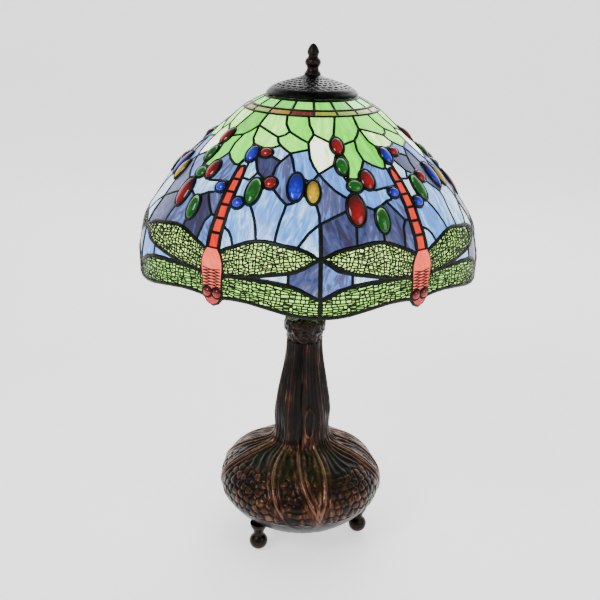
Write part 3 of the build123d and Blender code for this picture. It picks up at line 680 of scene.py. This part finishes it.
plates = {"upper": etched_cells(UPPER_WING, 23, 1.4, 0.09, 0.42),
          "lower": etched_cells(LOWER_WING, 28, 2.0, -0.03, 0.16)}
filigree = bmesh.new()
for turn in range(REPEATS):
    for body, sign in SIDES:
        for cells in plates.values():
            for cell in cells:
                corners = [filigree.verts.new(on_shade(body + sign * p.x / FLAT, p.y, PLATE_OUT,
                                                       turn)[0]) for p in cell]
                filigree.faces.new(corners if sign > 0 else corners[::-1])
bmesh.ops.recalc_face_normals(filigree, faces=filigree.faces[:])
webs = bmesh.ops.inset_individual(filigree, faces=filigree.faces[:], thickness=WEB_HALF * MM,
                                  use_even_offset=True)["faces"]
kept = set(webs)
bmesh.ops.delete(filigree, geom=[f for f in filigree.faces if f not in kept],
                 context="FACES_ONLY")
bmesh.ops.remove_doubles(filigree, verts=filigree.verts[:], dist=0.00002)
filigree_mesh = bpy.data.meshes.new("wing_filigree")
filigree.to_mesh(filigree_mesh)
filigree.free()
wing_filigree = bpy.data.objects.new("wing_filigree", filigree_mesh)
bpy.context.scene.collection.objects.link(wing_filigree)
choose(wing_filigree)
thick = wing_filigree.modifiers.new("thick", "SOLIDIFY")
thick.thickness = PLATE_THICK * MM
thick.offset = 1.0
bpy.ops.object.modifier_apply(modifier="thick")
plate_metal = patina("darkened_brass_plate", [(0.3, "#070B05"), (0.6, "#0E140A"),
                                              (0.8, "#1B2112")], 18, 0.42, 0.6, 0.1)
wing_filigree.data.materials.append(plate_metal)
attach(wing_filigree, "shade")

# Thorax bars: the same plate, cut into a close slanted lattice over the thorax's lower half.
BAR_LOW, BAR_HIGH, BAR_STEP, BAR_SLANT = 487.0, 512.0, 4.2, 4.5
BAR_REACH = 3.4  # degrees to each side of the body's middle
bars = Net()
for turn in range(REPEATS):
    for low in np.arange(BAR_LOW, BAR_HIGH, BAR_STEP):
        for near, far in ((low, low + BAR_SLANT), (low + BAR_SLANT, low)):
            bars.add(shade_bead([(BODY_AT - BAR_REACH, near), (BODY_AT + BAR_REACH, far)],
                                turn, out=BODY_PROUD, half=0.75, rise=0.7))
thorax_bars = beadwork("thorax_bars", bars, plate_metal)
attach(thorax_bars, "shade")

# --- Heat cap and finial ----------------------------------------------------------------
# Cast bronze cap, pierced with small holes so that the bulbs' heat can leave, under a knob
# that screws on the pipe. The cap's patina is near black, and the knob's is brown.


def turned(name, outline, steps=96):
    """A turned piece from the closed or open outline of its right half, in millimetres."""
    mesh = bpy.data.meshes.new(name)
    points = [(r * MM, 0, z * MM) for r, z in outline]
    mesh.from_pydata(points, [(i, i + 1) for i in range(len(points) - 1)], [])
    obj = bpy.data.objects.new(name, mesh)
    bpy.context.scene.collection.objects.link(obj)
    choose(obj)
    bpy.ops.object.mode_set(mode="EDIT")
    bpy.ops.mesh.select_all(action="SELECT")
    bpy.ops.mesh.spin(steps=steps, angle=2 * pi, center=(0, 0, 0), axis=(0, 0, 1))
    bpy.ops.mesh.select_all(action="SELECT")
    bpy.ops.mesh.remove_doubles(threshold=0.00001)
    bpy.ops.mesh.normals_make_consistent(inside=False)
    bpy.ops.object.mode_set(mode="OBJECT")
    bpy.ops.object.shade_smooth_by_angle(angle=radians(40))
    return obj


def smooth_line(points, per_run=6):
    """Points of a smooth curve through an outline (Catmull-Rom)."""
    path = [Vector(p) for p in points]
    path = [path[0] * 2 - path[1]] + path + [path[-1] * 2 - path[-2]]
    out = []
    for a, b, c, d in zip(path, path[1:], path[2:], path[3:]):
        for i in range(per_run):
            t = i / per_run
            out.append(0.5 * (2 * b + (c - a) * t + (2 * a - 5 * b + 4 * c - d) * t * t
                              + (3 * b - a - 3 * c + d) * t ** 3))
    return [tuple(p) for p in out + [path[-2]]]


CAP_OUTLINE = [(64.3, 717.0), (66.3, 718.2), (66.0, 720.3), (63.5, 723.0), (58.6, 727.3),
               (50.0, 731.2), (41.0, 734.3), (32.0, 737.2), (22.0, 740.2), (14.0, 743.6),
               (11.5, 745.0)]
BORE = 5.2
CAP_STEPS = 120
HOLE_ROW = 1.65  # millimetres of radius to a row of the piercing's grid
PIERCED_FROM, PIERCED_TO = 18, 56
cap = turned("pierced_cap", smooth_line(CAP_OUTLINE) + [(BORE, 745.0)], CAP_STEPS)
piercing = bmesh.new()
piercing.from_mesh(cap.data)
holes = []
for face in piercing.faces:
    middle = face.calc_center_median() / MM
    reach = hypot(middle.x, middle.y)
    row = int(reach / HOLE_ROW)
    column = int((atan2(middle.y, middle.x) + pi) / (2 * pi) * CAP_STEPS) + 2 * (row // 4 % 2)
    if PIERCED_FROM < reach < PIERCED_TO and row % 4 in (1, 2) and column % 4 in (1, 2):
        holes.append(face)
bmesh.ops.delete(piercing, geom=holes, context="FACES")
piercing.to_mesh(cap.data)
piercing.free()
wall = cap.modifiers.new("wall", "SOLIDIFY")
wall.thickness = 1.5 * MM
wall.offset = -1.0
bpy.ops.object.modifier_apply(modifier="wall")
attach(cap, "stand")
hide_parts("heat_cap")
cap_bronze = patina("black_patina_bronze", [(0.25, "#060706"), (0.5, "#0E1110"),
                                            (0.72, "#1D2523"), (0.9, "#33403E")], 9, 0.34, 1.0,
                    1.0)
cap.data.materials.append(cap_bronze)

KNOB = [(12.2, 745.3), (11.8, 747.0), (9.6, 750.0), (8.5, 753.0), (8.9, 756.0), (10.8, 759.0),
        (11.6, 762.3), (10.4, 766.0), (8.0, 768.6), (7.2, 770.4), (7.8, 772.6), (8.7, 775.6),
        (8.1, 779.0), (6.2, 783.2), (3.4, 787.0), (0.0, 788.6)]
knob = turned("turned_finial", [(0.0, 745.3)] + smooth_line(KNOB, 5), 64)
brown_bronze = patina("brown_patina_bronze", [(0.25, "#090504"), (0.5, "#160C08"),
                                              (0.7, "#2C1A10"), (0.9, "#4E382B")], 9, 0.3,
                      0.75, 0.8)
knob.data.materials.append(brown_bronze)
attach(knob, "finial")
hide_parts("finial")

# --- Trunk and base ---------------------------------------------------------------------
# Bronze casting: a tree trunk whose ridges run down and spread as roots over a cushion,
# with scale-like cells between the roots and a plain band near the bottom.
TRUNK = [(26.5, 338), (27.2, 322), (28.7, 309), (33.5, 280), (39.5, 245), (43.0, 219),
         (42.9, 203), (42.2, 191), (42.4, 180), (44.2, 171.5), (48.0, 165.0), (54.0, 160.5),
         (62.0, 157.0), (73.0, 152.5), (87.0, 146.0), (100.0, 137.8), (112.0, 127.6),
         (121.0, 117.0), (127.0, 106.2), (129.0, 96.0), (128.0, 84.0), (124.5, 73.0), (118.0, 62.5),
         (108.0, 51.5), (96.0, 42.0), (82.0, 36.0), (70.0, 32.5), (60.5, 31.2)]
AROUND, DOWN = 390, 250
TALLEST = 6.0  # the relief that counts as fully worn
curve = np.array(smooth_line(TRUNK, 10))
lengths = np.concatenate([[0], np.cumsum(np.hypot(*np.diff(curve, axis=0).T))])
stations = np.linspace(0, lengths[-1], DOWN)
radius = np.interp(stations, lengths, curve[:, 0])
level = np.interp(stations, lengths, curve[:, 1])
normal_r, normal_z = -np.gradient(level, stations), np.gradient(radius, stations)
T, S = np.meshgrid(np.linspace(0, 2 * pi, AROUND, endpoint=False), stations)
RR, ZZ = np.interp(S, stations, radius), np.interp(S, stations, level)
carve = np.random.default_rng(11)


def off_line(at):
    """Angle from a line on the casting, from -pi to pi."""
    return (T - at + pi) % (2 * pi) - pi


def fade(values, start, run):
    """0 up to a start, and rising to 1 over the run beyond it."""
    return np.clip((values - start) / run, 0, 1)


def ridges(count, waver, length):
    """Sharp upright ridges that waver as they go down."""
    return (0.5 + 0.5 * np.cos(count * grain + waver * np.sin(S / length))) ** 3


# The grain of the wood parts round three almond-shaped knots.
KNOTS = [(0.29, 208, 8.0, 25.0), (2.3, 225, 7.5, 22.0), (4.3, 198, 8.0, 24.0)]
grain, knot_relief = T.copy(), np.zeros_like(T)
for at, height, half_w, half_h in KNOTS:
    away = off_line(at)
    far = np.sqrt((away * RR / half_w) ** 2 + ((ZZ - height) / half_h) ** 2)
    grain -= 0.55 * away * np.exp(-far * far / 2)
    knot_relief += 1.1 * np.exp(-((far - 1) / 0.16) ** 2) - 1.6 * np.exp(-(far / 0.8) ** 6)
on_trunk = fade(ZZ, 158, 25)
relief = on_trunk * (0.9 * np.sin(9 * grain + 0.6 * np.sin(S / 50)) + 1.1 * ridges(37, 1.4, 37)
                     + 0.9 * ridges(71, 1.2, 24) + knot_relief)
# A deep crack runs down the front, beside a knot.
crack = fade(-ZZ, -285, 12) * fade(ZZ, 160, 12)
relief -= 2.6 * crack * np.exp(-(off_line(-0.03 + 0.02 * np.sin(S / 18)) * RR / 1.5) ** 2)

# Bundles of roots curve out over the cushion and thin away on its side.
ROOTS = 11
ROOT_TOP, ROOT_RUN = 192.0, 178.0
gone = fade(S, np.interp(-ROOT_TOP, -level, stations), ROOT_RUN)
width = np.interp(gone, [0, 0.3, 0.65, 1], [6.0, 12.5, 13.0, 5.0])
tall = np.interp(gone, [0, 0.2, 0.7, 1], [0.0, 3.0, 3.4, 0.4])
covered = np.zeros_like(T)
for root in range(ROOTS):
    start = 2 * pi * (root + carve.uniform(-0.2, 0.2)) / ROOTS
    swing = carve.choice([-1, 1]) * carve.uniform(0.25, 0.6)
    across = off_line(start + swing * gone ** 2) * RR / width
    root_shape = np.exp(-across ** 2)
    relief += (gone > 0) * root_shape * tall * (1 + 0.42 * np.cos(8.5 * across))
    covered = np.maximum(covered, root_shape)
foot_grain = fade(gone, 0, 0.2) * fade(-RR, -104, 20)
swirl = 46 * T + 4.0 * np.sin(3 * T + S / 18)
relief += 1.9 * foot_grain * (0.5 + 0.5 * np.cos(swirl)) ** 2 * (1 - covered)

# Cobbled scales fill the rest of the cushion's shoulder, down to a plain lower band.
SCALE = 13.5
centres = []
for row, along in enumerate(np.arange(np.interp(-146, -level, stations),
                                      np.interp(-66, -level, stations), SCALE * 0.86)):
    ring_r, ring_z = np.interp(along, stations, radius), np.interp(along, stations, level)
    count = int(2 * pi * ring_r / SCALE)
    for i in range(count):
        a = 2 * pi * (i + row % 2 / 2 + carve.uniform(-0.34, 0.34)) / count
        centres.append((ring_r * cos(a), ring_r * sin(a), ring_z + carve.uniform(-2.8, 2.8)))
tree_of_scales = KDTree(len(centres))
for index, centre in enumerate(centres):
    tree_of_scales.insert(centre, index)
tree_of_scales.balance()
scale_rise = carve.uniform(-0.5, 0.8, len(centres))
shoulder = fade(RR, 92, 12) * fade(ZZ, 70, 7) * (ZZ < 150)
for i, j in np.argwhere(shoulder > 0):
    spot = (RR[i, j] * cos(T[i, j]), RR[i, j] * sin(T[i, j]), ZZ[i, j])
    (_, nearest, near), (_, _, next_near) = tree_of_scales.find_n(spot, 2)
    edge = (next_near - near) / 2.2
    pad = (2.2 + scale_rise[nearest]) * (1 - np.exp(-edge * edge))
    relief[i, j] += pad * shoulder[i, j] * max(0.0, 1 - 1.6 * covered[i, j])
relief *= fade(ZZ, 31, 10)
out_r = RR + relief * np.interp(S, stations, normal_r)
out_z = ZZ + relief * np.interp(S, stations, normal_z)
trunk_verts = np.stack([out_r * np.sin(T), -out_r * np.cos(T), out_z], -1).reshape(-1, 3) * MM
trunk_faces = [[i * AROUND + j, (i + 1) * AROUND + j, (i + 1) * AROUND + (j + 1) % AROUND,
                i * AROUND + (j + 1) % AROUND] for i in range(DOWN - 1) for j in range(AROUND)]
top_centre, bottom_centre = len(trunk_verts), len(trunk_verts) + 1
ends = [(0, 0, TRUNK[0][1] * MM), (0, 0, TRUNK[-1][1] * MM)]
trunk_verts = np.vstack([trunk_verts, ends])
trunk_faces += [[top_centre, j, (j + 1) % AROUND] for j in range(AROUND)]
last = (DOWN - 1) * AROUND
trunk_faces += [[bottom_centre, last + (j + 1) % AROUND, last + j] for j in range(AROUND)]
trunk = new_object("trunk_and_cushion", trunk_verts, trunk_faces)
high = trunk.data.attributes.new("relief", "FLOAT", "POINT")
high.data.foreach_set("value", np.append(relief.ravel() / TALLEST, [0, 0]).astype(np.float32))


def cast_bronze(name):
    """Brown-patinated cast bronze: dark hollows, copper showing on the high ridges."""
    made, tree = material(name)
    height = node(tree, "ShaderNodeAttribute", attribute_name="relief")
    place = node(tree, "ShaderNodeTexCoord")
    blotch = node(tree, "ShaderNodeTexNoise", {"Vector": (place, 3), "Scale": 38.0,
                                               "Detail": 6.0})
    streaks = node(tree, "ShaderNodeMapping", {"Vector": (place, 3), "Scale": (1, 1, 0.12)})
    streak = node(tree, "ShaderNodeTexNoise", {"Vector": (streaks, 0), "Scale": 150.0,
                                               "Detail": 3.0})
    both = node(tree, "ShaderNodeMath", {0: (blotch, 0), 1: (streak, 0)}, operation="MULTIPLY")
    wear = node(tree, "ShaderNodeMath", {0: (both, 0), 1: 1.5, 2: (height, 2)},
                operation="MULTIPLY_ADD", use_clamp=True)
    colour = ramp(tree, (wear, 0), [(0.25, "#040302"), (0.5, "#0F0805"), (0.68, "#201009"),
                                    (0.85, "#422212"), (1.0, "#644434")])
    gloss = node(tree, "ShaderNodeMapRange", {"Value": (wear, 0), "To Min": 0.5, "To Max": 0.26})
    grain = node(tree, "ShaderNodeTexNoise", {"Vector": (place, 3), "Scale": 420.0,
                                              "Detail": 3.0})
    bump = node(tree, "ShaderNodeBump", {"Height": (grain, 0), "Strength": 0.35,
                                         "Distance": 0.0005})
    shader = node(tree, "ShaderNodeBsdfPrincipled",
                  {"Base Color": (colour, 0), "Roughness": (gloss, 0), "Metallic": 0.9,
                   "Coat Weight": 0.12, "Coat Roughness": 0.18, "Normal": (bump, 0)})
    node(tree, "ShaderNodeOutputMaterial", {"Surface": (shader, 0)})
    return made


trunk_bronze = cast_bronze("brown_cast_bronze")
trunk.data.materials.append(trunk_bronze)
choose(trunk)
bpy.ops.object.shade_smooth()
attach(trunk, "stand")
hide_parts("column", "base_casting")

# Neck collar: cast ring with a crumpled bark texture, over the trunk's end.
COLLAR = [(BORE, 375), (24, 375), (29.5, 373), (32.2, 369), (32.6, 362), (32.3, 356), (29.5, 351),
          (28.0, 346), (27.8, 340), (26.8, 338), (BORE, 338)]
collar = turned("bark_collar", [COLLAR[0]] + smooth_line(COLLAR[1:-1], 6) + [COLLAR[-1]], 160)
rough_map = bpy.data.textures.new("bark", "CLOUDS")
rough_map.noise_scale = 0.0065
crumple = collar.modifiers.new("crumple", "DISPLACE")
crumple.texture = rough_map
crumple.texture_coords = "LOCAL"
crumple.strength = 0.0055
crumple.mid_level = 0.55
bpy.ops.object.modifier_apply(modifier="crumple")
collar.data.materials.append(brown_bronze)
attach(collar, "stand")
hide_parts("neck_collar")

# Feet: cast ball feet on waisted necks, screwed up into the base.
FOOT = [(0, 0.1), (3.4, 0.1), (8.6, 2.6), (12.6, 6.8), (14.6, 12.4), (14.4, 17.6), (12.2, 22.4),
        (8.9, 26.4), (8.3, 30.0), (9.2, 34.0), (11.6, 38.4), (13.4, 42.6), (14.0, 47.0)]
for number in (1, 2, 3):
    low, high_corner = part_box(f"foot_{number}")
    ball_foot = turned(f"ball_foot_{number}", FOOT[:2] + smooth_line(FOOT[2:], 4), 48)
    middle = Vector(((low[0] + high_corner[0]) / 2, (low[1] + high_corner[1]) / 2, 0))
    ball_foot.data.transform(Matrix.Translation(middle))
    ball_foot.data.materials.append(brown_bronze)
    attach(ball_foot, "stand")
    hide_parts(f"foot_{number}")

# --- Fittings under the shade -----------------------------------------------------------
# Brass sockets, pipes and chains, the iron wheel and the frosted bulbs keep their shapes.
satin_brass = patina("aged_satin_brass", [(0.3, "#5E4522"), (0.6, "#8C6A35"), (0.85, "#B08E52")],
                     20, 0.34, 1.0, 0.1)
black_iron = patina("painted_cast_iron", [(0.3, "#121212"), (0.7, "#1E1E1D")], 6, 0.5, 0.2, 0.4)
felt = patina("green_felt", [(0.3, "#12301C"), (0.7, "#1D4428")], 3, 0.85, 0.0, 0.8)
moulded_black = patina("moulded_black_plastic", [(0.3, "#141414"), (0.7, "#1B1B1B")], 5, 0.45,
                       0.0, 0.1)


def frosted_glass(name):
    """Frosted bulb glass, lit from inside."""
    made, tree = material(name)
    place = node(tree, "ShaderNodeTexCoord")
    frost = node(tree, "ShaderNodeTexNoise", {"Vector": (place, 3), "Scale": 60.0})
    colour = ramp(tree, (frost, 0), [(0.3, "#FFF0D2"), (0.7, "#FFF8E8")])
    shader = node(tree, "ShaderNodeBsdfPrincipled",
                  {"Base Color": (colour, 0), "Emission Color": (colour, 0),
                   "Emission Strength": 3.0, "Roughness": 0.4})
    node(tree, "ShaderNodeOutputMaterial", {"Surface": (shader, 0)})
    return made


frosted = frosted_glass("frosted_lamp_glass")
FINISHES = {"brass": satin_brass, "cast_iron": black_iron, "cover_felt": felt,
            "bush_plastic": moulded_black, "bulb_glass": frosted, "leading": solder,
            "base_bronze": brown_bronze, "cap_bronze": cap_bronze}
for part in frame["record"]["subparts"]:
    if part["material_slot"] in FINISHES:
        cad = frame["nodes"][part["node"]]
        if not cad.data.materials:
            cad.data.materials.append(None)
        for index in range(len(cad.data.materials)):
            cad.data.materials[index] = FINISHES[part["material_slot"]]

# --- Floor, light and camera ------------------------------------------------------------
# A sheet of white paper lies under the lamp and curves up behind it, in metres.
PAPER_FRONT, PAPER_BACK, PAPER_BEND, PAPER_TOP, PAPER_HALF = -5.0, 2.4, 1.4, 7.0, 7
PAPER_DROP = 0.0005
sweep = [(PAPER_FRONT, 0.0), (PAPER_BACK, 0.0)]
sweep += [(PAPER_BACK + PAPER_BEND * sin(a), PAPER_BEND - PAPER_BEND * cos(a))
          for a in np.linspace(0.1, pi / 2, 14)]
sweep += [(PAPER_BACK + PAPER_BEND, PAPER_TOP)]
floor = new_object("floor", [(x, y, z - PAPER_DROP) for y, z in sweep
                             for x in (-PAPER_HALF, PAPER_HALF)],
                   [[2 * i, 2 * i + 1, 2 * i + 3, 2 * i + 2] for i in range(len(sweep) - 1)])
choose(floor)
bpy.ops.object.shade_smooth()


def white_paper(name):
    """Matt white paper, lit evenly from behind."""
    made, tree = material(name)
    place = node(tree, "ShaderNodeTexCoord")
    fibre = node(tree, "ShaderNodeTexNoise", {"Vector": (place, 3), "Scale": 2.0})
    colour = ramp(tree, (fibre, 0), [(0.3, "#FAFAFA"), (0.7, "#FFFFFF")])
    shader = node(tree, "ShaderNodeBsdfPrincipled",
                  {"Base Color": (colour, 0), "Roughness": 0.9,
                   "Emission Color": (1, 1, 1, 1), "Emission Strength": 0.95})
    node(tree, "ShaderNodeOutputMaterial", {"Surface": (shader, 0)})
    return made


floor.data.materials.append(white_paper("white_paper_sweep"))

world = bpy.data.worlds.new("studio")
bpy.context.scene.world = world
world.use_nodes = True
world.node_tree.nodes["Background"].inputs["Color"].default_value = (1, 1, 1, 1)
world.node_tree.nodes["Background"].inputs["Strength"].default_value = 0.5


def area_light(name, place, target, size, power):
    """A soft square light aimed at a point."""
    data = bpy.data.lights.new(name, "AREA")
    data.size = size
    data.energy = power
    light = bpy.data.objects.new(name, data)
    light.location = place
    light.rotation_euler = (Vector(target) - Vector(place)).to_track_quat("-Z", "Y").to_euler()
    bpy.context.scene.collection.objects.link(light)


area_light("key", (-1.6, -1.8, 2.2), (0, 0, 0.4), 1.0, 40)
area_light("fill", (1.9, -1.5, 1.3), (0, 0, 0.4), 1.4, 18)
area_light("back", (0.4, 1.9, 1.8), (0, 0, 0.5), 1.2, 22)

CAMERA_PLACE = (0, -1.3754, 0.8831)
LENS, SENSOR = 56.09, 36.0
PITCH, ROLL, YAW = 0.337285, 0.029305, -0.006286
forward = Vector((sin(YAW) * cos(PITCH), cos(YAW) * cos(PITCH), -sin(PITCH)))
right = Vector((cos(YAW), -sin(YAW), 0))
up = right.cross(forward)
rolled_right = right * cos(ROLL) + up * sin(ROLL)
rolled_up = up * cos(ROLL) - right * sin(ROLL)
camera_data = bpy.data.cameras.new("camera")
camera_data.lens = LENS
camera_data.sensor_width = SENSOR
camera = bpy.data.objects.new("camera", camera_data)
camera.matrix_world = Matrix.Translation(CAMERA_PLACE) @ Matrix(
    (rolled_right, rolled_up, -forward)).transposed().to_4x4()
bpy.context.scene.collection.objects.link(camera)
bpy.context.scene.camera = camera
